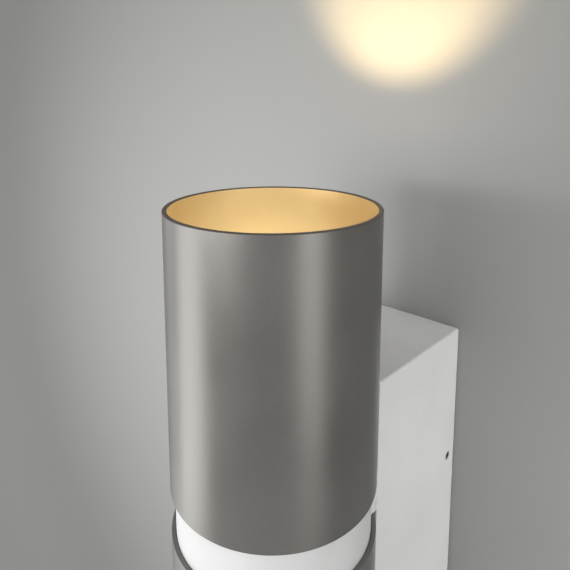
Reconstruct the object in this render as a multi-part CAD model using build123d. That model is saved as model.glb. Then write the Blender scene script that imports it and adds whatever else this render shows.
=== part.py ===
from build123d import *
import os
from math import pi, radians, sqrt, tan

# Up-and-down tube wall light. Millimetres; X to the right, Y into the wall, Z up.
# Origin: the wall, at mid-height of the wall box. The lamp tubes stand in front, at -Y.

# Lamp tubes
tube_radius = 30.0
tube_wall = 1.3
tube_length = 80.0

# White core between the tubes
band_height = 14.0
spigot_length = 12.0
core_wall = 3.2
web_thickness = 12.0
web_bore = 5.0
o_ring_thickness = 1.8
o_ring_height = 6.0

# Wall box
box_width = 43.0
box_height = 100.0
box_wall = 1.8
box_edge_round = 0.8
axis_from_wall = 73.0
rim_above_box = 53.2
nest_gap = 0.5
nose_flat = 0.6
neck_pad = 1.6
box_rib = 3.2

# Clearances
slide_gap = 0.1
o_ring_gap = 0.04
seat_gap = 0.3
thread_gap = 0.05
join_gap = 0.05
screw_clearance = 0.25

# Wall plate
plate_thickness = 1.5
flange_depth = 9.0
top_flange_width = 24.0
side_flange_length = 26.0
plate_corner = 2.0
wall_slot_spacing = 60.0
wall_slot_width = 4.5
wall_slot_length = 9.0
cable_height = 14.0
cable_radius = 5.0
grommet_wall = 2.1
grommet_flange = 2.3
grommet_length = 6.0
plate_earth_x = 9.0
plate_earth_z = -12.0
earth_collar = 2.5
washer_thickness = 1.0
washer_overhang = 0.5

# Screws: shank radius, head radius, head height
m25 = (1.25, 2.3, 1.6)
m3 = (1.5, 2.8, 1.9)
m4 = (2.0, 3.9, 2.6)
thread_depth = 7.0
socket_share = 0.5
hex_share = 0.8
grub_hex_share = 0.6
side_screw_down = 47.2
side_screw_from_wall = 4.6
side_screw_recess = 0.2
side_boss_radius = 4.0
side_boss_height = 2.4
core_screw_x = 13.0

# Lampholders and their leads
holder_length = 28.0
holder_width = 13.0
holder_height = 12.0
holder_screw_x = 10.0
holder_screw_depth = 4.0
holder_chamfer = 0.75
pin_spacing = 5.33
pin_radius = 0.75
pin_length = 7.2
pin_clearance = 0.1
lamp_lead_radius = 1.3
lamp_lead_x = 1.6
lead_clearance = 0.4
entry_gap = 0.1

# Reflector lamps
lamp_gap = 3.7
lamp_length = 44.0
lamp_base_radius = 9.0
lamp_base_length = 8.0
lamp_rim_height = 6.0
lamp_skin = 1.6
fin_root_radius = 11.25
fin_count = 16
lens_thickness = 2.5
led_radius = 8.0
led_thickness = 1.6
led_dome_radius = 4.5
led_dome_height = 1.4
lamp_ring_height = 4.0

# Driver and supply leads
driver_width = 32.0
driver_depth = 21.5
driver_skin = 1.6
driver_stand_off = 3.2
driver_ear = 7.0
driver_ear_width = 9.0
driver_ear_thickness = 2.4
driver_head_room = 5.2
driver_foot_room = 7.2
board_thickness = 1.6
board_rib = 1.5
lid_gap = 0.1
board_gap = 0.2
winding_share = 0.8
supply_lead_radius = 1.1
supply_lead_x = 8.0
supply_lead_depth = 9.5
supply_lead_floor = 1.2

# Terminal block and earth
pole_pitch = 9.0
pole_count = 3
block_depth = 15.0
block_stand_off = 6.5
block_above_neck = 4.0
block_head_room = 5.1
block_chamfer = 1.0
pole_bore = 2.3
pole_insert = 2.2
insert_bore = 1.4
clamp_screw_radius = 1.25
clamp_clearance = 0.5
clamp_slot_width = 0.5
end_inset = 0.5
lead_in_pole = 5.0
lead_in_case = 3.0
bend_share = 0.45
box_earth_side = 3.0
tag_thickness = 0.8
tag_barrel = 4.0

# Places worked out from the sizes above
tube_bore = tube_radius - tube_wall
core_radius = tube_bore - slide_gap
lamp_radius = tube_bore - lamp_gap
core_bore = core_radius - core_wall
half_band = band_height / 2
half_web = web_thickness / 2
half_box = box_width / 2
box_top = box_height / 2
inner_side = half_box - box_wall
inner_top = box_top - box_wall
band_z = box_top + rim_above_box - tube_length - half_band
nest_radius = tube_radius + nest_gap
inner_nest = nest_radius + box_wall
half_neck = half_band - seat_gap / 2
neck_reach = inner_nest + neck_pad
plate_side = inner_side - side_boss_height - seat_gap
plate_top = inner_top - seat_gap
side_screw_z = box_top - side_screw_down
lead_hole = lamp_lead_x + lamp_lead_radius + lead_clearance

on_axis = Pos(0, -axis_from_wall, band_z)
turned_over = on_axis * Rot(0, 180, 0)


def block(x, y, z):
    """A box from three (low, high) pairs."""
    sizes = [high - low for low, high in (x, y, z)]
    middle = [(high + low) / 2 for low, high in (x, y, z)]
    return Pos(*middle) * Box(*sizes)


def rod(radius, start, end):
    """A round bar from one point to another."""
    a, b = Vector(*start), Vector(*end)
    foot = (Align.CENTER, Align.CENTER, Align.MIN)
    return Plane(origin=a, z_dir=b - a) * Cylinder(radius, (b - a).length, align=foot)


def upright(radius, low, high, x=0.0, y=0.0):
    return rod(radius, (x, y, low), (x, y, high))


def turned(points):
    """A solid turned about Z from its (radius, height) outline."""
    outline = [(radius, 0, height) for radius, height in points]
    return revolve(make_face(Polyline(*outline, close=True)), Axis.Z)


def screw(size, seat, tip):
    """A pan-head screw: head above the seat point, shank down to the tip, hex socket."""
    shank, head, height = size
    a, b = Vector(*seat), Vector(*tip)
    out = (a - b).normalized()
    top = a + out * height
    body = rod(shank, b, a) + rod(head, a, top)
    hexagon = RegularPolygon(shank * hex_share, 6)
    socket = Plane(origin=top, z_dir=-out) * extrude(hexagon, height * socket_share)
    return body - socket


def lead(radius, points):
    """A round lead along straight runs joined by arcs as wide as the runs allow; prints their radii."""
    places = [Vector(*point) for point in points]
    bends = []
    for before, corner, after in zip(places, places[1:], places[2:]):
        run_in, run_out = corner - before, after - corner
        half_turn = radians(run_in.get_angle(run_out)) / 2
        bends.append(bend_share * min(run_in.length, run_out.length) / tan(half_turn))
    path = FilletPolyline(*places, radius=bends)
    tube = sweep(Plane(origin=path @ 0, z_dir=path % 0) * Circle(radius), path=path)
    share = tube.volume / (pi * radius**2 * path.length)
    radii = [round(bend, 1) for bend in bends]
    print("lead bends", radii, "volume against section times length", round(share, 4))
    return tube


def group(solids):
    return Compound(children=list(solids))


def save(node, shape):
    export_step(shape, f"parts/{node}.step")


os.makedirs("parts", exist_ok=True)

# How far behind the tube axis the core's surface lies at its two fixing screws
core_face_y = sqrt(core_radius**2 - core_screw_x**2)


# ---- Lamp tubes: plain sleeves pushed over the core from above and from below
def tube():
    low = half_band
    return upright(tube_radius, low, low + tube_length) - upright(tube_bore, low, low + tube_length)


save("upper_tube", on_axis * tube())
save("lower_tube", turned_over * tube())


# ---- Core: two cups back to back on a thick web, with a groove for the grip ring in each spigot
def core():
    reach = half_band + spigot_length
    shape = upright(core_radius, -reach, reach)
    for side in (1, -1):
        shape -= upright(core_bore, side * half_web, side * (reach + 1))
        groove_z = side * (half_band + o_ring_height)
        half_groove = o_ring_thickness / 2 + join_gap
        groove_floor = tube_bore - o_ring_gap - o_ring_thickness - join_gap
        band = upright(core_radius + 1, groove_z - half_groove, groove_z + half_groove)
        shape -= band - upright(groove_floor, groove_z - half_groove, groove_z + half_groove)
        for x in (holder_screw_x, -holder_screw_x):
            bottom = side * (half_web - holder_screw_depth)
            shape -= rod(m3[0] + thread_gap, (x, 0, bottom), (x, 0, side * (half_web + 1)))
        shape -= rod(m4[0] + thread_gap, (side * core_screw_x, core_face_y - thread_depth, 0),
                     (side * core_screw_x, core_radius + 1, 0))
    shape -= upright(web_bore, -half_web - 1, half_web + 1)
    shape -= rod(lead_hole, (0, 0, 0), (0, core_radius + 1, 0))
    return shape


save("core_body", on_axis * core())


# ---- Grip rings in the grooves
def o_ring():
    section = o_ring_thickness / 2
    ring = Torus(tube_bore - o_ring_gap - section, section)
    return Pos(0, 0, half_band + o_ring_height) * ring


save("upper_grip_ring", on_axis * o_ring())
save("lower_grip_ring", turned_over * o_ring())


# ---- Wall box: shell open to the wall, hollowed in front to nest the tubes, with a neck to hold the core
driver_top = band_z - half_neck - driver_head_room
driver_bottom = -inner_top + driver_foot_room
driver_front = -axis_from_wall + inner_nest + driver_stand_off
driver_back = driver_front + driver_depth
driver_screws = [(0, driver_top + driver_ear / 2), (0, driver_bottom - driver_ear / 2)]
block_bottom = band_z + half_neck + block_above_neck
block_top = inner_top - block_head_room
block_height = block_top - block_bottom
block_front = -axis_from_wall + inner_nest + block_stand_off
block_back = block_front + block_depth
block_middle = (block_bottom + block_top) / 2
block_screws = [(side * pole_pitch / 2, block_middle) for side in (1, -1)]
block_side = pole_count * pole_pitch / 2
earth_x = inner_side - box_earth_side
earth_face = block_front - box_rib
pad_face = neck_reach - axis_from_wall


def inner_front(x):
    """Y of the inner face of the hollowed front wall at a given X."""
    return -axis_from_wall + sqrt(inner_nest**2 - x**2)


def box_boss(radius, x, z, face):
    """A round boss from the hollowed front wall back to a face at the given Y."""
    return rod(radius, (x, -axis_from_wall, z), (x, face, z)) - nest


nest = Pos(0, -axis_from_wall, 0) * Cylinder(nest_radius, box_height + 2)


def wall_box():
    nose = -axis_from_wall + sqrt(nest_radius**2 - half_box**2) + nose_flat
    outer = block((-half_box, half_box), (nose, -seat_gap), (-box_top, box_top))
    outer = fillet(outer.edges().filter_by(Axis.Y), box_edge_round)
    outer -= nest
    room = block((-inner_side, inner_side), (nose, 1), (-inner_top, inner_top))
    room -= Pos(0, -axis_from_wall, 0) * Cylinder(inner_nest, box_height + 2)
    shape = outer - room
    neck = block((-half_box, half_box), (0, neck_reach), (-half_neck, half_neck))
    neck -= upright(core_radius + join_gap, -band_height, band_height)
    shape += on_axis * neck
    for x, z in driver_screws:
        shape += box_boss(box_rib, x, z, driver_front)
    for x, z in block_screws:
        shape += box_boss(box_rib, x, z, block_front)
    shape += box_boss(box_rib - join_gap, earth_x, block_middle, earth_face)
    for side in (1, -1):
        boss_end = side * (inner_side - side_boss_height)
        boss_root = side * (inner_side + box_wall / 2)
        shape += rod(side_boss_radius, (boss_end, -side_screw_from_wall, side_screw_z),
                     (boss_root, -side_screw_from_wall, side_screw_z))
    for side in (1, -1):
        shape -= rod(m3[0] + thread_gap, (0, -side_screw_from_wall, side_screw_z),
                     (side * (half_box + 1), -side_screw_from_wall, side_screw_z))
        x = side * core_screw_x
        shape -= rod(m4[0] + screw_clearance, (x, -axis_from_wall, band_z), (x, 0, band_z))
    shape -= rod(lead_hole, (0, -axis_from_wall, band_z), (0, 0, band_z))
    for size, face, places in ((m3, driver_front, driver_screws), (m25, block_front, block_screws),
                               (m3, earth_face, [(earth_x, block_middle)])):
        for x, z in places:
            shape -= rod(size[0] + thread_gap, (x, inner_front(x), z), (x, face + 1, z))
    return shape


save("wall_box", wall_box())


# ---- Screws that hold the core to the neck, from inside the box
def core_screw(x):
    tip = -axis_from_wall + core_face_y - thread_depth + join_gap
    return screw(m4, (x, pad_face, band_z), (x, tip, band_z))


save("core_screws", group(core_screw(x) for x in (core_screw_x, -core_screw_x)))


# ---- Headless screws through the box sides, which press on the wall plate's flanges
def side_screw(side):
    tip = side * (plate_side + seat_gap)
    end = side * (half_box - side_screw_recess)
    y, z = -side_screw_from_wall, side_screw_z
    body = rod(m3[0], (tip, y, z), (end, y, z))
    hexagon = RegularPolygon(m3[0] * grub_hex_share, 6)
    socket = Plane(origin=(end, y, z), z_dir=(-side, 0, 0)) * extrude(hexagon, m3[0])
    return body - socket


save("side_screws", group(side_screw(side) for side in (1, -1)))


# ---- Wall plate: a folded tray with slots for the wall screws and a collared earth hole
def wall_plate():
    plate = block((-plate_side, plate_side), (-plate_thickness, 0), (-plate_top, plate_top))
    plate = fillet(plate.edges().filter_by(Axis.Y), plate_corner)
    half_top = top_flange_width / 2
    half_side = side_flange_length / 2
    for side in (1, -1):
        plate += block((-half_top, half_top), (-flange_depth, 0),
                       sorted((side * plate_top, side * (plate_top - plate_thickness))))
        plate += block(sorted((side * plate_side, side * (plate_side - plate_thickness))),
                       (-flange_depth, 0), (side_screw_z - half_side, side_screw_z + half_side))
        slot = SlotOverall(wall_slot_length, wall_slot_width, rotation=90)
        cutter = Plane.XZ * extrude(slot, plate_thickness * 2, both=True)
        plate -= Pos(0, 0, side * wall_slot_spacing / 2) * cutter
    cable_hole = cable_radius + grommet_wall + join_gap
    plate -= rod(cable_hole, (0, 1, cable_height), (0, -flange_depth, cable_height))
    earth = (plate_earth_x, plate_earth_z)
    plate += rod(m4[0] + plate_thickness, (earth[0], -plate_thickness / 2, earth[1]),
                 (earth[0], -plate_thickness - earth_collar, earth[1]))
    plate -= rod(m4[0] + thread_gap, (earth[0], 1, earth[1]), (earth[0], -flange_depth, earth[1]))
    return plate


save("wall_plate", wall_plate())


# ---- Grommet for the house cable
def grommet():
    back = -join_gap
    shape = rod(cable_radius + grommet_wall, (0, back, cable_height), (0, -grommet_length, cable_height))
    lip_back = -plate_thickness - join_gap
    lip_front = lip_back - plate_thickness
    lip_radius = cable_radius + grommet_wall + grommet_flange
    lip = rod(lip_radius, (0, lip_back, cable_height), (0, lip_front, cable_height))
    shape += fillet(lip.edges().group_by(Axis.Y)[0], plate_thickness / 3)
    return shape - rod(cable_radius, (0, 1, cable_height), (0, -grommet_length - 1, cable_height))


save("cable_grommet", grommet())


# ---- Earth screw of the wall plate with its cup washer
def plate_earth():
    collar = -plate_thickness - earth_collar
    seat = collar - washer_thickness
    x, z = plate_earth_x, plate_earth_z
    washer = rod(m4[1] + washer_overhang, (x, collar, z), (x, seat, z))
    washer -= rod(m4[0] + screw_clearance, (x, 1, z), (x, -flange_depth, z))
    return group([screw(m4, (x, seat, z), (x, -seat_gap, z)), washer])


save("plate_earth_screw", plate_earth())


# ---- Lampholder: ceramic block on the web, with two pin sockets and sunk fixing screws
holder_low = half_web
holder_high = half_web + holder_height
holder_screw_sink = m3[2] + screw_clearance
lamp_low = holder_high + seat_gap
lamp_high = lamp_low + lamp_length


def holder():
    shape = Pos(0, 0, holder_low) * extrude(SlotOverall(holder_length, holder_width), holder_height)
    shape = chamfer(shape.edges().group_by(Axis.Z)[-1], holder_chamfer)
    for side in (1, -1):
        pin_x = side * pin_spacing / 2
        socket_floor = lamp_low - pin_length - seat_gap
        shape -= upright(pin_radius + pin_clearance, socket_floor, holder_high + 1, x=pin_x)
        screw_x = side * holder_screw_x
        shape -= upright(m3[0] + screw_clearance, holder_low - 1, holder_high, x=screw_x)
        shape -= upright(m3[1] + screw_clearance, holder_high - holder_screw_sink, holder_high + 1, x=screw_x)
    return shape


def holder_screws():
    seat = holder_high - holder_screw_sink
    tip = half_web - holder_screw_depth + join_gap
    return group(screw(m3, (x, 0, seat), (x, 0, tip)) for x in (holder_screw_x, -holder_screw_x))


for name, place in (("upper", on_axis), ("lower", turned_over)):
    save(f"{name}_lampholder", place * holder())
    save(f"{name}_holder_screws", place * holder_screws())


# ---- Reflector lamp: finned body, two pins, LED board, front lens and the soft ring that centres it
lens_seat = lamp_high - lens_thickness
lamp_shoulder = lamp_low + lamp_base_length
rim_low = lamp_high - lamp_rim_height
cup_floor = lamp_shoulder + lamp_base_length


def lamp_body():
    outline = [(0, lamp_low), (lamp_base_radius, lamp_low), (lamp_base_radius, lamp_shoulder),
               (lamp_radius - lamp_skin, rim_low), (lamp_radius, rim_low),
               (lamp_radius, lamp_high), (0, lamp_high)]
    lens_edge = lamp_radius - lamp_skin
    led_edge = led_radius + join_gap
    hollow = [(0, cup_floor), (led_edge, cup_floor), (led_edge, cup_floor + led_thickness),
              (lens_edge - 2 * lamp_skin, lens_seat), (lens_edge, lens_seat),
              (lens_edge, lamp_high + 1), (0, lamp_high + 1)]
    shape = turned(outline) - turned(hollow)
    for i in range(fin_count):
        notch = block((fin_root_radius, lamp_radius), (-lamp_skin / 2, lamp_skin / 2),
                      (lamp_shoulder, cup_floor))
        shape -= Rot(0, 0, 360 * i / fin_count) * notch
    for side in (1, -1):
        pin_x = side * pin_spacing / 2
        shape -= upright(pin_radius + join_gap, lamp_low - 1, lamp_low + lamp_base_length / 2, x=pin_x)
    return shape


def lamp_pins():
    top = lamp_low + lamp_base_length / 2 - join_gap
    half = pin_spacing / 2
    return group(upright(pin_radius, lamp_low - pin_length, top, x=x) for x in (half, -half))


def lamp_led():
    board_top = cup_floor + led_thickness
    dome = upright(led_dome_radius, board_top - join_gap, board_top + led_dome_height)
    dome = fillet(dome.edges().group_by(Axis.Z)[-1], led_dome_height / 2)
    return upright(led_radius, cup_floor, board_top) + dome


def lamp_lens():
    lens = upright(lamp_radius - lamp_skin - join_gap, lens_seat, lamp_high - join_gap)
    return fillet(lens.edges().group_by(Axis.Z)[-1], lens_thickness / 4)


def lamp_ring():
    low = rim_low + (lamp_rim_height - lamp_ring_height) / 2
    ring = upright(tube_bore - seat_gap, low, low + lamp_ring_height)
    ring = fillet(ring.edges(), lamp_ring_height / 4)
    return ring - upright(lamp_radius + join_gap, low - 1, low + lamp_ring_height + 1)


for name, place in (("upper", on_axis), ("lower", turned_over)):
    save(f"{name}_lamp_body", place * lamp_body())
    save(f"{name}_lamp_pins", place * lamp_pins())
    save(f"{name}_lamp_led", place * lamp_led())
    save(f"{name}_lamp_lens", place * lamp_lens())
    save(f"{name}_lamp_ring", place * lamp_ring())


# ---- Driver: case with ears, lid, board, transformer and capacitors
half_driver = driver_width / 2
case_back = driver_back - driver_skin
lead_y = driver_front + supply_lead_depth
case_inside = half_driver - driver_skin
room_low = driver_bottom + driver_skin
room_high = driver_top - driver_skin
board_front = driver_front + driver_skin + board_rib
board_back = board_front + board_thickness


def driver_case():
    case = block((-half_driver, half_driver), (driver_front, case_back), (driver_bottom, driver_top))
    case = fillet(case.edges().filter_by(Axis.Y), driver_skin)
    case -= block((-case_inside, case_inside), (driver_front + driver_skin, driver_back),
                  (room_low, room_high))
    for x, z in driver_screws:
        ear = block((x - driver_ear_width / 2, x + driver_ear_width / 2),
                    (driver_front, driver_front + driver_ear_thickness),
                    (z - driver_ear / 2, z + driver_ear / 2))
        case += ear - rod(m3[0] + screw_clearance, (x, driver_front - 1, z), (x, driver_back, z))
    for side in (1, -1):
        rib_x = side * (case_inside - driver_skin / 2)
        case += block((rib_x - driver_skin / 2, rib_x + driver_skin / 2),
                      (driver_front + driver_skin, board_front), (room_low, room_high))
        case -= upright(supply_lead_radius + entry_gap, driver_bottom - 1, room_low + 1,
                        x=side * supply_lead_x, y=lead_y)
        case -= upright(lamp_lead_radius + entry_gap, room_high - 1, driver_top + 1,
                        x=side * lamp_lead_x, y=lead_y)
    return case


def driver_lid():
    lid = block((-half_driver, half_driver), (case_back, driver_back), (driver_bottom, driver_top))
    lid = fillet(lid.edges().filter_by(Axis.Y), driver_skin)
    inside = case_inside - lid_gap
    lid += block((-inside, inside), (case_back - driver_skin / 2, case_back),
                 (room_low + lid_gap, room_high - lid_gap))
    return lid


def driver_board():
    edge = case_inside - board_gap
    return block((-edge, edge), (board_front, board_back), (room_low + board_gap, room_high - board_gap))


part_depth = case_back - driver_skin - board_back - board_gap
room_middle = (room_low + room_high) / 2
room_length = room_high - room_low
capacitor_radius = part_depth / 3
capacitor_length = room_length / 4
capacitor_low = room_low + supply_lead_radius * 2


def driver_transformer():
    half = part_depth / 2
    core_half = half * winding_share
    windings = Pos(0, board_back + half, room_middle) * Rot(0, 90, 0) * Cylinder(core_half, part_depth)
    frame = block((-half, half), (board_back, board_back + part_depth / 4),
                  (room_middle - half, room_middle + half))
    return windings + frame


def driver_capacitors():
    y = board_back + capacitor_radius
    x = case_inside - capacitor_radius - lead_clearance
    cans = []
    for side in (1, -1):
        can = upright(capacitor_radius, capacitor_low, capacitor_low + capacitor_length, x=side * x, y=y)
        cans.append(fillet(can.edges(), capacitor_radius / 8))
    return group(cans)


def driver_screw(x, z):
    seat = driver_front + driver_ear_thickness
    return screw(m3, (x, seat, z), (x, inner_front(x) + join_gap, z))


save("driver_case", driver_case())
save("driver_lid", driver_lid())
save("driver_board", driver_board())
save("driver_transformer", driver_transformer())
save("driver_capacitors", driver_capacitors())
save("driver_screws", group(driver_screw(x, z) for x, z in driver_screws))


# ---- Terminal block: three poles, each a brass tube with two clamp screws
pole_xs = [(i - (pole_count - 1) / 2) * pole_pitch for i in range(pole_count)]
pole_y = (block_front + block_back) / 2
clamp_zs = [block_middle - block_height / 4, block_middle + block_height / 4]


def terminal_block():
    shape = block((-block_side, block_side), (block_front, block_back), (block_bottom, block_top))
    shape = chamfer(shape.edges().filter_by(Axis.Z), block_chamfer)
    for x in pole_xs:
        shape -= upright(pole_bore, block_bottom - 1, block_top + 1, x=x, y=pole_y)
        for z in clamp_zs:
            shape -= rod(clamp_screw_radius + clamp_clearance, (x, pole_y, z), (x, block_back + 1, z))
    for x, z in block_screws:
        shape -= rod(m25[0] + screw_clearance, (x, block_front - 1, z), (x, block_back + 1, z))
    return shape


def terminal_poles():
    poles = []
    for x in pole_xs:
        pole = upright(pole_insert, block_bottom + end_inset, block_top - end_inset, x=x, y=pole_y)
        pole -= upright(insert_bore, block_bottom - 1, block_top + 1, x=x, y=pole_y)
        for z in clamp_zs:
            pole -= rod(clamp_screw_radius + join_gap, (x, pole_y, z), (x, block_back, z))
        poles.append(pole)
    return group(poles)


def clamp_screw(x, z):
    tip = pole_y + insert_bore
    end = block_back - end_inset
    body = rod(clamp_screw_radius, (x, tip, z), (x, end, z))
    slot = block((x - clamp_screw_radius, x + clamp_screw_radius), (end - clamp_screw_radius / 2, end + 1),
                 (z - clamp_slot_width / 2, z + clamp_slot_width / 2))
    return body - slot


save("terminal_block", terminal_block())
save("terminal_poles", terminal_poles())
save("terminal_clamp_screws", group(clamp_screw(x, z) for x in pole_xs for z in clamp_zs))


def block_screw(x, z):
    return screw(m25, (x, block_back, z), (x, inner_front(x) + join_gap, z))


save("terminal_block_screws", group(block_screw(x, z) for x, z in block_screws))


# ---- Earth tag on its boss, with its screw
tag_back = earth_face + tag_thickness
tag_low = block_middle - m3[1] - seat_gap * 2
barrel_y = earth_face + supply_lead_radius


def box_earth_tag():
    ring = rod(m3[1], (earth_x, earth_face, block_middle), (earth_x, tag_back, block_middle))
    ring -= rod(m3[0] + thread_gap, (earth_x, earth_face - 1, block_middle),
                (earth_x, tag_back + 1, block_middle))
    ring += block((earth_x - supply_lead_radius, earth_x + supply_lead_radius), (earth_face, tag_back),
                  (tag_low - tag_barrel / 2, block_middle - m3[0] - tag_thickness))
    outer = supply_lead_radius + join_gap + tag_thickness / 2
    barrel = upright(outer, tag_low - tag_barrel, tag_low, x=earth_x, y=barrel_y)
    socket = upright(supply_lead_radius + join_gap, tag_low - tag_barrel - 1, tag_low - tag_thickness,
                     x=earth_x, y=barrel_y)
    return ring + barrel - socket


def box_earth_screw():
    tip = inner_front(earth_x) + join_gap
    return screw(m3, (earth_x, tag_back, block_middle), (earth_x, tip, block_middle))


save("box_earth_tag", box_earth_tag())
save("box_earth_screw", box_earth_screw())


# ---- Leads: one sleeve from each lampholder to the driver, two supply leads and the earth lead
def lamp_lead(side):
    x = side * lamp_lead_x
    return lead(lamp_lead_radius, [(x, -axis_from_wall, band_z + side * half_web),
                                   (x, -axis_from_wall, band_z), (x, lead_y, band_z),
                                   (x, lead_y, driver_top - lead_in_case)])


def supply_lead(side):
    side_x = side * (inner_side - supply_lead_radius - lead_clearance)
    low_z = -inner_top + supply_lead_radius + supply_lead_floor
    case_x = side * supply_lead_x
    pole_x = pole_xs[-1] * side
    return lead(supply_lead_radius, [(case_x, lead_y, room_low + end_inset), (case_x, lead_y, low_z),
                                     (side_x, lead_y, low_z), (side_x, lead_y, band_z),
                                     (pole_x, pole_y, band_z + half_neck),
                                     (pole_x, pole_y, block_bottom + lead_in_pole)])


def earth_lead():
    turn_z = band_z + half_neck
    return lead(supply_lead_radius, [(0, pole_y, block_bottom + lead_in_pole), (0, pole_y, turn_z),
                                     (earth_x, barrel_y, turn_z),
                                     (earth_x, barrel_y, tag_low - tag_thickness - join_gap)])


save("upper_lamp_lead", lamp_lead(1))
save("lower_lamp_lead", lamp_lead(-1))
save("supply_leads", group(supply_lead(side) for side in (1, -1)))
save("earth_lead", earth_lead())
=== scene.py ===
from math import cos, pi, radians, sin

import bmesh
import bpy
from mathutils import Matrix, Vector


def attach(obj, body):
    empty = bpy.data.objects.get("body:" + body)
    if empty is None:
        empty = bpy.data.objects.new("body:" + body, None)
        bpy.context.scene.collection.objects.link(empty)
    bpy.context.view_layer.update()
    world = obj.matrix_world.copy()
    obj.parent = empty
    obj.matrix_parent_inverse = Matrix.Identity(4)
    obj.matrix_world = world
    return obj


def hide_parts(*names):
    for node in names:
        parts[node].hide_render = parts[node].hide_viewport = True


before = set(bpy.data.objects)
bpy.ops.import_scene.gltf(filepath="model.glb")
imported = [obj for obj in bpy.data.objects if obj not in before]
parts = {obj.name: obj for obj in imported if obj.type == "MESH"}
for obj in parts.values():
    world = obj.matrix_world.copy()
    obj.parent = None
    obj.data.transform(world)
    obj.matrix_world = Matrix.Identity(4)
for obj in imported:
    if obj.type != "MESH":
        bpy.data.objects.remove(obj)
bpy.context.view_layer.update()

mm = 0.001


# ---- Wall plate
# A folded tray of galvanised sheet steel, screwed to the wall through two upright slots. The zinc
# shows its flowery crystals. The box slides over it and is held by two screws in its sides.
def new_group(name, inputs, outputs):
    """A shader node group with named sockets, and its input and output nodes."""
    group = bpy.data.node_groups.new(name, "ShaderNodeTree")
    for label, kind, value in inputs:
        socket = group.interface.new_socket(label, in_out="INPUT", socket_type=kind)
        if value is not None:
            socket.default_value = value
    for label, kind in outputs:
        group.interface.new_socket(label, in_out="OUTPUT", socket_type=kind)
    return group, group.nodes.new("NodeGroupInput"), group.nodes.new("NodeGroupOutput")


def add(tree, kind, **settings):
    """A node with its properties and, where a name is a socket's, its unlinked value set."""
    node = tree.nodes.new(kind)
    for label, value in settings.items():
        if hasattr(node, label):
            setattr(node, label, value)
        else:
            node.inputs[label.replace("_", " ")].default_value = value
    return node


def join(tree, start, end):
    tree.links.new(start, end)


def calculate(tree, operation, first, second=0.0, clamp=False):
    """The output of a Math node; each term is a number or a socket."""
    node = add(tree, "ShaderNodeMath", operation=operation, use_clamp=clamp)
    for socket, term in zip(node.inputs, (first, second)):
        if isinstance(term, (int, float)):
            socket.default_value = term
        else:
            join(tree, term, socket)
    return node.outputs[0]


def spread(tree, value, low, high, to_low=0.0, to_high=1.0):
    """The output of a clamped Map Range node, smoothed."""
    node = add(tree, "ShaderNodeMapRange", interpolation_type="SMOOTHSTEP")
    join(tree, value, node.inputs["Value"])
    for label, number in (("From Min", low), ("From Max", high), ("To Min", to_low), ("To Max", to_high)):
        node.inputs[label].default_value = number
    return node.outputs["Result"]


def blend_colours(tree, mask, first, second):
    """A colour mixed from two by a mask; each is a colour or a socket."""
    node = add(tree, "ShaderNodeMix", data_type="RGBA")
    join(tree, mask, node.inputs[0])
    for socket, colour in ((node.inputs[6], first), (node.inputs[7], second)):
        if isinstance(colour, tuple):
            socket.default_value = (*colour, 1.0)
        else:
            join(tree, colour, socket)
    return node.outputs[2]


# Colour clouds at two sizes, and the fine height that goes with them
cloud_group, cloud_in, cloud_out = new_group(
    "paint_clouds",
    [("Vector", "NodeSocketVector", None), ("Size", "NodeSocketFloat", 0.01), ("Fine Size", "NodeSocketFloat", 0.0006)],
    [("Cloud", "NodeSocketFloat"), ("Fine", "NodeSocketFloat")])
for size_label, detail, result in (("Size", 4.0, "Cloud"), ("Fine Size", 2.0, "Fine")):
    scale = calculate(cloud_group, "DIVIDE", 1.0, cloud_in.outputs[size_label])
    noise = add(cloud_group, "ShaderNodeTexNoise", Detail=detail, Roughness=0.55)
    join(cloud_group, cloud_in.outputs["Vector"], noise.inputs["Vector"])
    join(cloud_group, scale, noise.inputs["Scale"])
    join(cloud_group, spread(cloud_group, noise.outputs["Fac"], 0.3, 0.7), cloud_out.inputs[result])


def finish(name, dark, light, size, fine_size, roughness, metallic=0.0, bump=0.1, depth=0.00005, **shader_values):
    """A material with clouded colour and roughness and a fine bump. Returns it and what more can be linked to."""
    material = bpy.data.materials.new(name)
    material.use_nodes = True
    tree = material.node_tree
    shader = tree.nodes["Principled BSDF"]
    place = add(tree, "ShaderNodeTexCoord")
    clouds = add(tree, "ShaderNodeGroup", node_tree=cloud_group)
    clouds.inputs["Size"].default_value = size
    clouds.inputs["Fine Size"].default_value = fine_size
    join(tree, place.outputs["Object"], clouds.inputs["Vector"])
    colour = blend_colours(tree, clouds.outputs["Cloud"], dark, light)
    join(tree, colour, shader.inputs["Base Color"])
    rough = spread(tree, clouds.outputs["Cloud"], 0.0, 1.0, *roughness)
    join(tree, rough, shader.inputs["Roughness"])
    relief = add(tree, "ShaderNodeBump", Strength=bump, Distance=depth)
    join(tree, clouds.outputs["Fine"], relief.inputs["Height"])
    join(tree, relief.outputs["Normal"], shader.inputs["Normal"])
    shader.inputs["Metallic"].default_value = metallic
    for label, value in shader_values.items():
        shader.inputs[label.replace("_", " ")].default_value = value
    return material, {"tree": tree, "shader": shader, "object": place.outputs["Object"], "colour": colour}


def put_on(material, *nodes):
    """Gives CAD nodes their material."""
    for node in nodes:
        slots = parts[node].material_slots
        for i in range(len(slots)):
            slots[i].material = material


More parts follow.
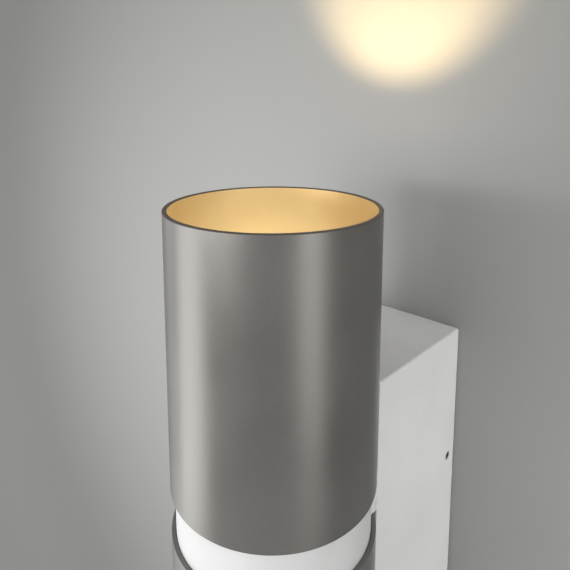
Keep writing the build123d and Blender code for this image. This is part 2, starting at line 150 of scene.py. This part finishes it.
galvanised, spangle = finish("galvanised_sheet", (0.42, 0.44, 0.46), (0.60, 0.62, 0.63), 0.02, 0.0008,
                             (0.38, 0.5), metallic=0.9, bump=0.08)
crystals = add(spangle["tree"], "ShaderNodeTexVoronoi", Scale=190.0, Randomness=1.0)
join(spangle["tree"], spangle["object"], crystals.inputs["Vector"])
crystal_shade = add(spangle["tree"], "ShaderNodeSeparateColor")
join(spangle["tree"], crystals.outputs["Color"], crystal_shade.inputs[0])
crystal_mask = calculate(spangle["tree"], "MULTIPLY", crystal_shade.outputs[0], 0.55)
join(spangle["tree"], blend_colours(spangle["tree"], crystal_mask, spangle["colour"], (0.70, 0.73, 0.76)),
     spangle["shader"].inputs["Base Color"])
join(spangle["tree"], spread(spangle["tree"], crystal_shade.outputs[1], 0.0, 1.0, 0.3, 0.55),
     spangle["shader"].inputs["Roughness"])
put_on(galvanised, "wall_plate")


# ---- Cable grommet
# A black rubber bush pressed into the plate's cable hole, with one moulded lip in front of the sheet. A house
# cable comes through it from the wall. The rings that grip the lamp tubes, in grooves of the core, are rubber too.
rubber, _ = finish("black_rubber", (0.016, 0.016, 0.016), (0.032, 0.031, 0.030), 0.004, 0.0003,
                   (0.6, 0.78), bump=0.2, depth=0.00004, Specular_IOR_Level=0.35)
put_on(rubber, "cable_grommet", "upper_grip_ring", "lower_grip_ring")


# ---- Screws
# Zinc-plated steel screws, with hexagon sockets but for the slotted clamp screws of the terminal block: one at the
# plate's earth point, two headless ones in the box's sides, and those that hold the core, lampholders, driver,
# terminal block and earth tag.
zinc, _ = finish("zinc_plated_steel", (0.40, 0.41, 0.42), (0.56, 0.57, 0.58), 0.0015, 0.0002,
                 (0.28, 0.45), metallic=1.0, bump=0.12, depth=0.00003)
put_on(zinc, "plate_earth_screw", "core_screws", "side_screws", "driver_screws", "upper_holder_screws",
       "lower_holder_screws", "terminal_block_screws", "terminal_clamp_screws", "box_earth_screw")


# ---- Wall box
# A white powder-coated aluminium box, open to the wall, hollowed in front to nest the lamp tubes, with a
# neck that holds the core. The powder has a fine orange-peel skin, rubbed a little along the box's edges.
box_half = (21.5 * mm, 25.25 * mm, 50.0 * mm)
box_middle = (0.0, -25.55 * mm, 0.0)

wear_group, wear_in, wear_out = new_group(
    "edge_rub",
    [("Vector", "NodeSocketVector", None), ("Half Size", "NodeSocketVector", None),
     ("Width", "NodeSocketFloat", 0.0006), ("Patch Size", "NodeSocketFloat", 0.006)],
    [("Mask", "NodeSocketFloat")])
from_middle = add(wear_group, "ShaderNodeVectorMath", operation="ABSOLUTE")
join(wear_group, wear_in.outputs["Vector"], from_middle.inputs[0])
to_faces = add(wear_group, "ShaderNodeVectorMath", operation="SUBTRACT")
join(wear_group, wear_in.outputs["Half Size"], to_faces.inputs[0])
join(wear_group, from_middle.outputs[0], to_faces.inputs[1])
apart = add(wear_group, "ShaderNodeSeparateXYZ")
join(wear_group, to_faces.outputs[0], apart.inputs[0])
across, along, upward = apart.outputs
near_pair = calculate(wear_group, "MINIMUM", across, along)
far_pair = calculate(wear_group, "MAXIMUM", across, along)
to_edge = calculate(wear_group, "MAXIMUM", near_pair, calculate(wear_group, "MINIMUM", far_pair, upward))
edge_share = calculate(wear_group, "DIVIDE", to_edge, wear_in.outputs["Width"])
nearness = calculate(wear_group, "SUBTRACT", 1.0, edge_share, clamp=True)
rubbed = add(wear_group, "ShaderNodeTexNoise", Detail=5.0, Roughness=0.6)
join(wear_group, wear_in.outputs["Vector"], rubbed.inputs["Vector"])
join(wear_group, calculate(wear_group, "DIVIDE", 1.0, wear_in.outputs["Patch Size"]), rubbed.inputs["Scale"])
patches = spread(wear_group, rubbed.outputs["Fac"], 0.48, 0.62)
join(wear_group, calculate(wear_group, "MULTIPLY", nearness, patches), wear_out.inputs["Mask"])


def rub_edges(made, middle, half, width, bare, strength):
    """Adds rubbed edges to a finish: barer colour where the noise lets it through along a box's edges."""
    tree = made["tree"]
    centred = add(tree, "ShaderNodeMapping", Location=tuple(-c for c in middle))
    join(tree, made["object"], centred.inputs["Vector"])
    wear = add(tree, "ShaderNodeGroup", node_tree=wear_group)
    wear.inputs["Half Size"].default_value = half
    wear.inputs["Width"].default_value = width
    join(tree, centred.outputs["Vector"], wear.inputs["Vector"])
    mask = calculate(tree, "MULTIPLY", wear.outputs["Mask"], strength)
    join(tree, blend_colours(tree, mask, made["colour"], bare), made["shader"].inputs["Base Color"])


white_powder, powder = finish("white_powder_coat", (0.79, 0.79, 0.785), (0.84, 0.84, 0.835), 0.03, 0.00055,
                              (0.5, 0.6), bump=0.12, depth=0.00004, Specular_IOR_Level=0.4)
rub_edges(powder, box_middle, box_half, 0.0007, (0.52, 0.52, 0.51), 0.5)
put_on(white_powder, "wall_box")


# ---- Terminal block and earth
# A natural nylon block with three brass poles and clamp screws, on two bosses of the box. Beside it a brass
# tag is screwed to the box for the earth lead.
nylon, _ = finish("natural_nylon", (0.66, 0.64, 0.58), (0.76, 0.74, 0.69), 0.006, 0.0004,
                  (0.42, 0.55), bump=0.1, depth=0.00004, Subsurface_Weight=0.1)
put_on(nylon, "terminal_block")
brass, _ = finish("turned_brass", (0.48, 0.31, 0.10), (0.72, 0.52, 0.22), 0.0018, 0.0002,
                  (0.25, 0.42), metallic=1.0, bump=0.12, depth=0.00003)
put_on(brass, "terminal_poles", "box_earth_tag", "upper_lamp_pins", "lower_lamp_pins")


# ---- Driver
# A small LED driver in a white plastic case with a lid, screwed to the box by two ears. Inside are a green
# board, a taped ferrite transformer and two sleeved capacitors.
case_plastic, _ = finish("white_case_plastic", (0.66, 0.66, 0.65), (0.74, 0.74, 0.73), 0.008, 0.00035,
                         (0.5, 0.62), bump=0.2, depth=0.00005)
put_on(case_plastic, "driver_case", "driver_lid")
board, tracks = finish("green_board", (0.020, 0.13, 0.045), (0.035, 0.19, 0.07), 0.004, 0.0003,
                       (0.28, 0.4), bump=0.1, depth=0.00003)
track_lines = add(tracks["tree"], "ShaderNodeTexBrick", Scale=220.0, offset=0.37)
track_lines.inputs["Mortar Size"].default_value = 0.03
track_lines.inputs["Color1"].default_value = (0.0, 0.0, 0.0, 1.0)
track_lines.inputs["Color2"].default_value = (0.0, 0.0, 0.0, 1.0)
track_lines.inputs["Mortar"].default_value = (1.0, 1.0, 1.0, 1.0)
track_turn = add(tracks["tree"], "ShaderNodeMapping", Rotation=(pi / 2, 0.0, 0.0))
join(tracks["tree"], tracks["object"], track_turn.inputs["Vector"])
join(tracks["tree"], track_turn.outputs["Vector"], track_lines.inputs["Vector"])
join(tracks["tree"], blend_colours(tracks["tree"], track_lines.outputs["Color"], tracks["colour"], (0.07, 0.30, 0.11)),
     tracks["shader"].inputs["Base Color"])
put_on(board, "driver_board")
ferrite, taped = finish("taped_ferrite", (0.03, 0.03, 0.032), (0.07, 0.07, 0.07), 0.003, 0.0003,
                        (0.45, 0.65), bump=0.25, depth=0.00005)
tape_half = 4.2 * mm
tape_place = add(taped["tree"], "ShaderNodeSeparateXYZ")
join(taped["tree"], taped["object"], tape_place.inputs[0])
tape_way = calculate(taped["tree"], "ABSOLUTE", tape_place.outputs[0])
tape_band = calculate(taped["tree"], "LESS_THAN", tape_way, tape_half)
join(taped["tree"], blend_colours(taped["tree"], tape_band, taped["colour"], (0.66, 0.45, 0.05)),
     taped["shader"].inputs["Base Color"])
put_on(ferrite, "driver_transformer")
can_sleeve, _ = finish("capacitor_sleeve", (0.015, 0.018, 0.035), (0.03, 0.033, 0.055), 0.004, 0.0003,
                       (0.25, 0.38), bump=0.08, depth=0.00003)
put_on(can_sleeve, "driver_capacitors")


# ---- Core
# The white aluminium core that both tubes are pushed over: two cups back to back on a thick web. Only its
# middle band shows, between the tubes, and two screws from inside the box hold it to the neck.
# Its white is the box's powder coat made darker: painted shade on the band between the tubes
core_powder_painted_shade, _ = finish("shaded_white_core_powder", (0.66, 0.66, 0.655), (0.70, 0.70, 0.695), 0.02, 0.0005,
                        (0.45, 0.55), bump=0.1, depth=0.00004, Specular_IOR_Level=0.4)
put_on(core_powder_painted_shade, "core_body")


# ---- Lampholders and leads
# Unglazed ceramic sockets screwed to the core's web. A glass-fibre sleeve brings each one its two cores,
# brown supply leads run from driver to terminal block, and the earth lead is green and yellow.
ceramic, _ = finish("lampholder_ceramic", (0.72, 0.69, 0.62), (0.82, 0.80, 0.75), 0.005, 0.00025,
                    (0.62, 0.75), bump=0.3, depth=0.00006)
put_on(ceramic, "upper_lampholder", "lower_lampholder")


def braid(made, pitch, dark):
    """Two crossing waves that raise a sleeve as its threads do, and painted shade that darkens the hollows between
    them.
    """
    tree = made["tree"]
    waves = []
    for turn in (pi / 4, -pi / 4):
        slant = add(tree, "ShaderNodeMapping", Rotation=(turn, turn, turn))
        join(tree, made["object"], slant.inputs["Vector"])
        wave = add(tree, "ShaderNodeTexWave", Scale=1.0 / pitch, Distortion=0.6)
        join(tree, slant.outputs["Vector"], wave.inputs["Vector"])
        waves.append(wave.outputs["Fac"])
    weave = calculate(tree, "MULTIPLY", *waves)
    join(tree, blend_colours(tree, weave, dark, made["colour"]), made["shader"].inputs["Base Color"])
    relief = add(tree, "ShaderNodeBump", Strength=0.5, Distance=0.0001)
    join(tree, weave, relief.inputs["Height"])
    join(tree, relief.outputs["Normal"], made["shader"].inputs["Normal"])


sleeve, threads = finish("glass_fibre_sleeve", (0.66, 0.64, 0.58), (0.78, 0.76, 0.71), 0.002, 0.0003, (0.75, 0.85))
# The darker colour is painted shade in the hollows of the weave
braid(threads, 0.004, (0.5, 0.48, 0.43))
put_on(sleeve, "upper_lamp_lead", "lower_lamp_lead")
brown_lead, _ = finish("brown_insulation", (0.17, 0.060, 0.022), (0.24, 0.095, 0.035), 0.004, 0.0003,
                       (0.38, 0.5), bump=0.1, depth=0.00003)
put_on(brown_lead, "supply_leads")
earth_cover, bands = finish("green_yellow_insulation", (0.10, 0.30, 0.035), (0.14, 0.38, 0.05), 0.004, 0.0003,
                            (0.38, 0.5), bump=0.1, depth=0.00003)
helix = add(bands["tree"], "ShaderNodeTexWave", Scale=60.0, wave_profile="SIN")
join(bands["tree"], bands["object"], helix.inputs["Vector"])
join(bands["tree"], blend_colours(bands["tree"], spread(bands["tree"], helix.outputs["Fac"], 0.52, 0.56),
                                  bands["colour"], (0.75, 0.62, 0.04)), bands["shader"].inputs["Base Color"])
put_on(earth_cover, "earth_lead")


# ---- Reflector lamps
# A standard 50 mm LED reflector lamp in each tube: cast and finned body, two brass pins, LED board, ribbed
# front lens, and a milky silicone ring that centres it in the tube. It is plugged into the lampholder.
tube_axis_y = -73.0 * mm
band_z = 16.2 * mm
lens_radius = 23.35 * mm
lens_low = 59.8 * mm
lens_thick = 2.45 * mm
lens_edge = 0.3 * mm
rib_pitch = 1.5 * mm
rib_height = 0.22 * mm
lens_margin = 1.0 * mm
lens_steps = 96
lit_radii = (4.0 * mm, 26.0 * mm)
lens_dimming = 0.66

cast_metal, _ = finish("cast_lamp_metal", (0.50, 0.50, 0.50), (0.64, 0.64, 0.63), 0.005, 0.0003,
                       (0.42, 0.56), metallic=0.85, bump=0.2, depth=0.00005)
put_on(cast_metal, "upper_lamp_body", "lower_lamp_body")
silicone, _ = finish("milky_silicone", (0.58, 0.58, 0.56), (0.68, 0.68, 0.66), 0.004, 0.0004,
                     (0.35, 0.45), bump=0.08, depth=0.00003, Subsurface_Weight=0.25, Transmission_Weight=0.2)
put_on(silicone, "upper_lamp_ring", "lower_lamp_ring")
phosphor, dome_glow = finish("led_phosphor", (0.80, 0.56, 0.16), (0.90, 0.68, 0.26), 0.0012, 0.0003,
                             (0.4, 0.5), bump=0.1, depth=0.00003)
dome_glow["shader"].inputs["Emission Color"].default_value = (1.0, 0.72, 0.34, 1.0)
dome_glow["shader"].inputs["Emission Strength"].default_value = 2.0
put_on(phosphor, "upper_lamp_led", "lower_lamp_led")

lens_glass, glow = finish("frosted_lens", (0.54, 0.50, 0.42), (0.62, 0.58, 0.50), 0.004, 0.0004,
                          (0.35, 0.5), bump=0.15, depth=0.00004)
lens_centre = add(glow["tree"], "ShaderNodeMapping", Location=(0.0, -tube_axis_y, 0.0), Scale=(1.0, 1.0, 0.0))
join(glow["tree"], glow["object"], lens_centre.inputs["Vector"])
lens_way = add(glow["tree"], "ShaderNodeVectorMath", operation="LENGTH")
join(glow["tree"], lens_centre.outputs["Vector"], lens_way.inputs[0])
lit_share = spread(glow["tree"], lens_way.outputs["Value"], *lit_radii, 1.0, 0.28)
lit_colour = blend_colours(glow["tree"], lit_share, (0.34, 0.285, 0.20), (1.0, 0.97, 0.84))
# Dimmer to the camera than the light it gives, so that it isn't burnt out from above
lens_path = add(glow["tree"], "ShaderNodeLightPath")
dimming = calculate(glow["tree"], "MULTIPLY", lens_path.outputs["Is Camera Ray"], lens_dimming)
dimmed = blend_colours(glow["tree"], dimming, lit_colour, (0.0, 0.0, 0.0))
join(glow["tree"], dimmed, glow["shader"].inputs["Emission Color"])
glow["shader"].inputs["Emission Strength"].default_value = 2.6


def lens(side):
    """A ribbed disc turned about the lamp's axis, face up for the upper lamp and down for the lower."""
    shape = bmesh.new()
    top = lens_low + lens_thick - rib_height
    outline = [(0.0, lens_low), (lens_radius, lens_low), (lens_radius, top - lens_edge), (lens_radius - lens_edge, top)]
    rib_count = int((lens_radius - lens_margin) / rib_pitch)
    for rib in range(rib_count, 0, -1):
        outline.append((rib * rib_pitch, top))
        outline.append(((rib - 0.5) * rib_pitch, top + rib_height))
    outline.append((0.0, top))
    points = [shape.verts.new((radius, 0.0, height)) for radius, height in outline]
    runs = [shape.edges.new(pair) for pair in zip(points, points[1:])]
    bmesh.ops.spin(shape, geom=points + runs, cent=(0, 0, 0), axis=(0, 0, 1), angle=2 * pi, steps=lens_steps,
                   use_merge=True)
    bmesh.ops.remove_doubles(shape, verts=shape.verts[:], dist=1e-6)
    if side < 0:
        bmesh.ops.rotate(shape, verts=shape.verts[:], cent=(0, 0, 0), matrix=Matrix.Rotation(pi, 3, "X"))
    bmesh.ops.recalc_face_normals(shape, faces=shape.faces[:])
    bmesh.ops.translate(shape, verts=shape.verts[:], vec=(0.0, tube_axis_y, band_z))
    return shape


def make_piece(name, shape, materials, sharp=40.0):
    """A finished bmesh made an object, smooth but for its sharp edges."""
    mesh = bpy.data.meshes.new(name)
    shape.to_mesh(mesh)
    shape.free()
    for material in materials:
        mesh.materials.append(material)
    mesh.shade_smooth()
    mesh.set_sharp_from_angle(angle=radians(sharp))
    piece = bpy.data.objects.new(name, mesh)
    bpy.context.scene.collection.objects.link(piece)
    return piece


for side, word in ((1, "upper"), (-1, "lower")):
    piece = make_piece(f"{word}_ribbed_lens", lens(side), [lens_glass], sharp=60.0)
    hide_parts(f"{word}_lamp_lens")
    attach(piece, f"{word}_lamp")


# ---- Lamp tubes
# Two plain aluminium sleeves, lacquered satin metallic grey outside and matt gold inside. Their lightly rounded
# rims are dark at the mouth and grey at the core. They are pushed over the core, where rubber rings grip them.
tube_radius = 30.0 * mm
tube_bore = 28.7 * mm
tube_length = 80.0 * mm
tube_start = 7.0 * mm
rim_round = 0.3 * mm
rim_keep = 0.34 * mm
tube_steps = 256
outside, mouth_rim, inside, core_rim = range(4)

grey_lacquer, lacquer = finish("grey_metallic_lacquer", (0.190, 0.183, 0.169), (0.214, 0.207, 0.192), 0.035, 0.00035,
                               (0.32, 0.37), metallic=0.75, bump=0.04, depth=0.00003,
                               Coat_Weight=0.12, Coat_Roughness=0.3)
flakes = add(lacquer["tree"], "ShaderNodeTexVoronoi", Scale=3200.0, Randomness=1.0)
join(lacquer["tree"], lacquer["object"], flakes.inputs["Vector"])
flake_shade = add(lacquer["tree"], "ShaderNodeSeparateColor")
join(lacquer["tree"], flakes.outputs["Color"], flake_shade.inputs[0])
flake_mask = spread(lacquer["tree"], flake_shade.outputs[0], 0.6, 1.0, 0.0, 0.12)
join(lacquer["tree"], blend_colours(lacquer["tree"], flake_mask, lacquer["colour"], (0.30, 0.295, 0.28)),
     lacquer["shader"].inputs["Base Color"])

rim_lacquer, _ = finish("dark_rim_lacquer", (0.105, 0.088, 0.078), (0.140, 0.118, 0.105), 0.006, 0.0003,
                        (0.4, 0.55), metallic=0.5, bump=0.1, depth=0.00003)
grey_rim_lacquer, _ = finish("grey_rim_lacquer", (0.165, 0.165, 0.162), (0.195, 0.195, 0.192), 0.006, 0.0003,
                             (0.4, 0.55), metallic=0.5, bump=0.1, depth=0.00003)
gold_lacquer, _ = finish("matt_gold_lacquer", (0.73, 0.555, 0.285), (0.79, 0.61, 0.33), 0.02, 0.0003,
                         (0.42, 0.52), metallic=0.6, bump=0.06, depth=0.00003)


def tube(side):
    """The sleeve's wall outline with rounded rims, turned about the tube's axis. Each face is given its lacquer."""
    shape = bmesh.new()
    low, high = tube_start, tube_start + tube_length
    outline = [(tube_bore, low), (tube_radius, low), (tube_radius, low + rim_keep), (tube_radius, high - rim_keep),
               (tube_radius, high), (tube_bore, high), (tube_bore, high - rim_keep), (tube_bore, low + rim_keep)]
    points = [shape.verts.new((radius, 0.0, height)) for radius, height in outline]
    for start, end in zip(points, points[1:] + points[:1]):
        shape.edges.new((start, end))
    corners = [points[i] for i in (0, 1, 4, 5)]
    bmesh.ops.bevel(shape, geom=corners, offset=rim_round, offset_type="OFFSET", segments=3, profile=0.5,
                    affect="VERTICES", material=-1)
    bmesh.ops.spin(shape, geom=shape.verts[:] + shape.edges[:], cent=(0, 0, 0), axis=(0, 0, 1), angle=2 * pi,
                   steps=tube_steps, use_merge=True)
    if side < 0:
        bmesh.ops.rotate(shape, verts=shape.verts[:], cent=(0, 0, 0), matrix=Matrix.Rotation(pi, 3, "X"))
    bmesh.ops.recalc_face_normals(shape, faces=shape.faces[:])
    for face in shape.faces:
        centre = face.calc_center_median()
        radius, height = Vector(centre.xy).length, abs(centre.z)
        if high - height < rim_round * 0.9:
            face.material_index = mouth_rim
        elif height - low < rim_round * 0.9:
            face.material_index = core_rim
        else:
            face.material_index = inside if radius < (tube_bore + tube_radius) / 2 else outside
    bmesh.ops.translate(shape, verts=shape.verts[:], vec=(0.0, tube_axis_y, band_z))
    return shape


for side, word in ((1, "upper"), (-1, "lower")):
    piece = make_piece(f"{word}_lamp_tube", tube(side), [grey_lacquer, rim_lacquer, gold_lacquer, grey_rim_lacquer])
    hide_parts(f"{word}_tube")
    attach(piece, f"{word}_tube")


# ---- Wall and floor behind and below the light
# A painted wall just behind the wall plate, and a pale floor a metre down. The paint is darker away from a
# point left of the light: painted shade for the way the light falls off along the wall. The wall is clear from
# behind and to rays that start less than a millimetre from it, so that the plate's back shows.
wall_y = 0.4 * mm
painted_shade_centre = (-70.0 * mm, 26.0 * mm)
painted_shade_radius = 350.0 * mm
wall_reach = 1.0 * mm
floor_z = -1.0


def stage_plane(name, corners, material):
    """A flat four-sided piece of the stage."""
    mesh = bpy.data.meshes.new(name)
    mesh.from_pydata(corners, [], [(0, 1, 2, 3)])
    mesh.materials.append(material)
    plane = bpy.data.objects.new(name, mesh)
    bpy.context.scene.collection.objects.link(plane)


wall_paint, wall_skin = finish("wall_paint", (0.400, 0.398, 0.386), (0.414, 0.412, 0.400), 0.25, 0.002,
                               (0.7, 0.8), bump=0.03, depth=0.0001, Specular_IOR_Level=0.2)
wall_tree = wall_skin["tree"]
wall_way = add(wall_tree, "ShaderNodeMapping", Location=(-painted_shade_centre[0], 0.0, -painted_shade_centre[1]), Scale=(1.0, 0.0, 1.0))
join(wall_tree, wall_skin["object"], wall_way.inputs["Vector"])
wall_distance = add(wall_tree, "ShaderNodeVectorMath", operation="LENGTH")
join(wall_tree, wall_way.outputs["Vector"], wall_distance.inputs[0])
# Painted shade: the wall's colour darkens with distance from the point left of the light
painted_wall_shade = spread(wall_tree, wall_distance.outputs["Value"], 0.0, painted_shade_radius)
join(wall_tree, blend_colours(wall_tree, painted_wall_shade, wall_skin["colour"], (0.172, 0.176, 0.164)),
     wall_skin["shader"].inputs["Base Color"])
see_through = add(wall_tree, "ShaderNodeBsdfTransparent")
seen_from = add(wall_tree, "ShaderNodeNewGeometry")
wall_path = add(wall_tree, "ShaderNodeLightPath")
from_close = calculate(wall_tree, "LESS_THAN", wall_path.outputs["Ray Length"], wall_reach)
two_sided = add(wall_tree, "ShaderNodeMixShader")
join(wall_tree, calculate(wall_tree, "MAXIMUM", seen_from.outputs["Backfacing"], from_close), two_sided.inputs[0])
join(wall_tree, wall_skin["shader"].outputs[0], two_sided.inputs[1])
join(wall_tree, see_through.outputs[0], two_sided.inputs[2])
join(wall_tree, two_sided.outputs[0], wall_tree.nodes["Material Output"].inputs["Surface"])
stage_plane("room_wall", [(-3.0, wall_y, floor_z), (3.0, wall_y, floor_z), (3.0, wall_y, 2.5), (-3.0, wall_y, 2.5)],
            wall_paint)
floor_paint, _ = finish("floor_paint", (0.74, 0.74, 0.73), (0.78, 0.78, 0.77), 0.3, 0.003, (0.6, 0.7), bump=0.02)
stage_plane("room_floor", [(-4.0, -4.0, floor_z), (4.0, -4.0, floor_z), (4.0, 4.0, floor_z), (-4.0, 4.0, floor_z)],
            floor_paint)


# ---- Light
# Five soft lights a little over a metre away: two low ones on the left, a small one and a wide one in front and a
# tall one on the right. With them a pale room, and two lamps at one point past each tube's mouth, which make the
# warm pool on the wall and its glow. The powers come from a fit to the photo, some then changed.
light_distance = 1.1
pool_place = (-5.3 * mm, -60.0 * mm)
pool_height = 127.0 * mm
pool_tilt = radians(28.7)
pool_size = 2.0 * mm


def soft_light(name, azimuth, height, width, tall, power):
    """A rectangular light aimed at the light's middle; azimuth 0 is straight in front, positive to the right."""
    data = bpy.data.lights.new(name, "AREA")
    data.shape = "RECTANGLE"
    data.size, data.size_y = width, tall
    data.energy = power
    light = bpy.data.objects.new(name, data)
    a = radians(azimuth)
    place = Vector((sin(a) * light_distance, tube_axis_y - cos(a) * light_distance, height))
    light.location = place
    aim = Vector((0.0, tube_axis_y, band_z)) - place
    light.rotation_euler = aim.to_track_quat("-Z", "Y").to_euler()
    bpy.context.scene.collection.objects.link(light)


soft_light("left_soft_light", -48.0, -0.42, 0.70, 0.95, 5.4)
soft_light("far_left_soft_light", -84.0, -0.42, 0.40, 0.95, 0.7)
soft_light("window_light", -22.0, 0.133, 0.17, 0.12, 1.5)
soft_light("front_soft_light", -6.0, 0.10, 0.75, 0.40, 4.8)
soft_light("right_soft_light", 82.0, 0.15, 0.52, 1.8, 5.4)


def wall_pool(name, side, energy, spread_angle, blend, colour):
    """A small spot past the tube's mouth, tilted to the wall; side is 1 above the light and -1 below."""
    data = bpy.data.lights.new(name, "SPOT")
    data.energy = energy
    data.color = colour
    data.spot_size = radians(spread_angle)
    data.spot_blend = blend
    data.shadow_soft_size = pool_size
    light = bpy.data.objects.new(name, data)
    light.location = (*pool_place, band_z + side * pool_height)
    aim = Vector((0.0, cos(pool_tilt), side * sin(pool_tilt)))
    light.rotation_euler = aim.to_track_quat("-Z", "Y").to_euler()
    bpy.context.scene.collection.objects.link(light)


for side, word in ((1, "upper"), (-1, "lower")):
    wall_pool(f"{word}_wall_pool", side, 0.40, 80.0, 0.70, (1.0, 0.74, 0.37))
    wall_pool(f"{word}_pool_glow", side, 0.022, 128.0, 1.0, (1.0, 0.62, 0.28))

room = bpy.data.worlds.new("pale_room")
room.use_nodes = True
room_tree = room.node_tree
room_light = room_tree.nodes["Background"]
room_light.inputs["Strength"].default_value = 1.0
room_way = add(room_tree, "ShaderNodeTexCoord")
room_height = add(room_tree, "ShaderNodeSeparateXYZ")
join(room_tree, room_way.outputs["Generated"], room_height.inputs[0])
overhead = spread(room_tree, room_height.outputs[2], 0.1, 0.8)
join(room_tree, blend_colours(room_tree, overhead, (0.65, 0.655, 0.66), (0.56, 0.56, 0.56)), room_light.inputs["Color"])
bpy.context.scene.world = room


# ---- Camera
# A little above the upper rim, in front of the light and to its right, turned to it and tilted down. It was solved
# from the rims, the tube's sides and the box's edges in the photo.
camera_data = bpy.data.cameras.new("camera")
camera_data.lens = 35.0
camera_data.shift_x = 0.0016
camera_data.shift_y = -0.209
camera_data.clip_start = 0.01
camera = bpy.data.objects.new("camera", camera_data)
camera.location = (0.1040, -0.1800, 0.1356)
camera.rotation_euler = (radians(81.85), 0.0, radians(43.03))
bpy.context.scene.collection.objects.link(camera)
bpy.context.scene.camera = camera
bpy.context.scene.view_settings.view_transform = "Standard"
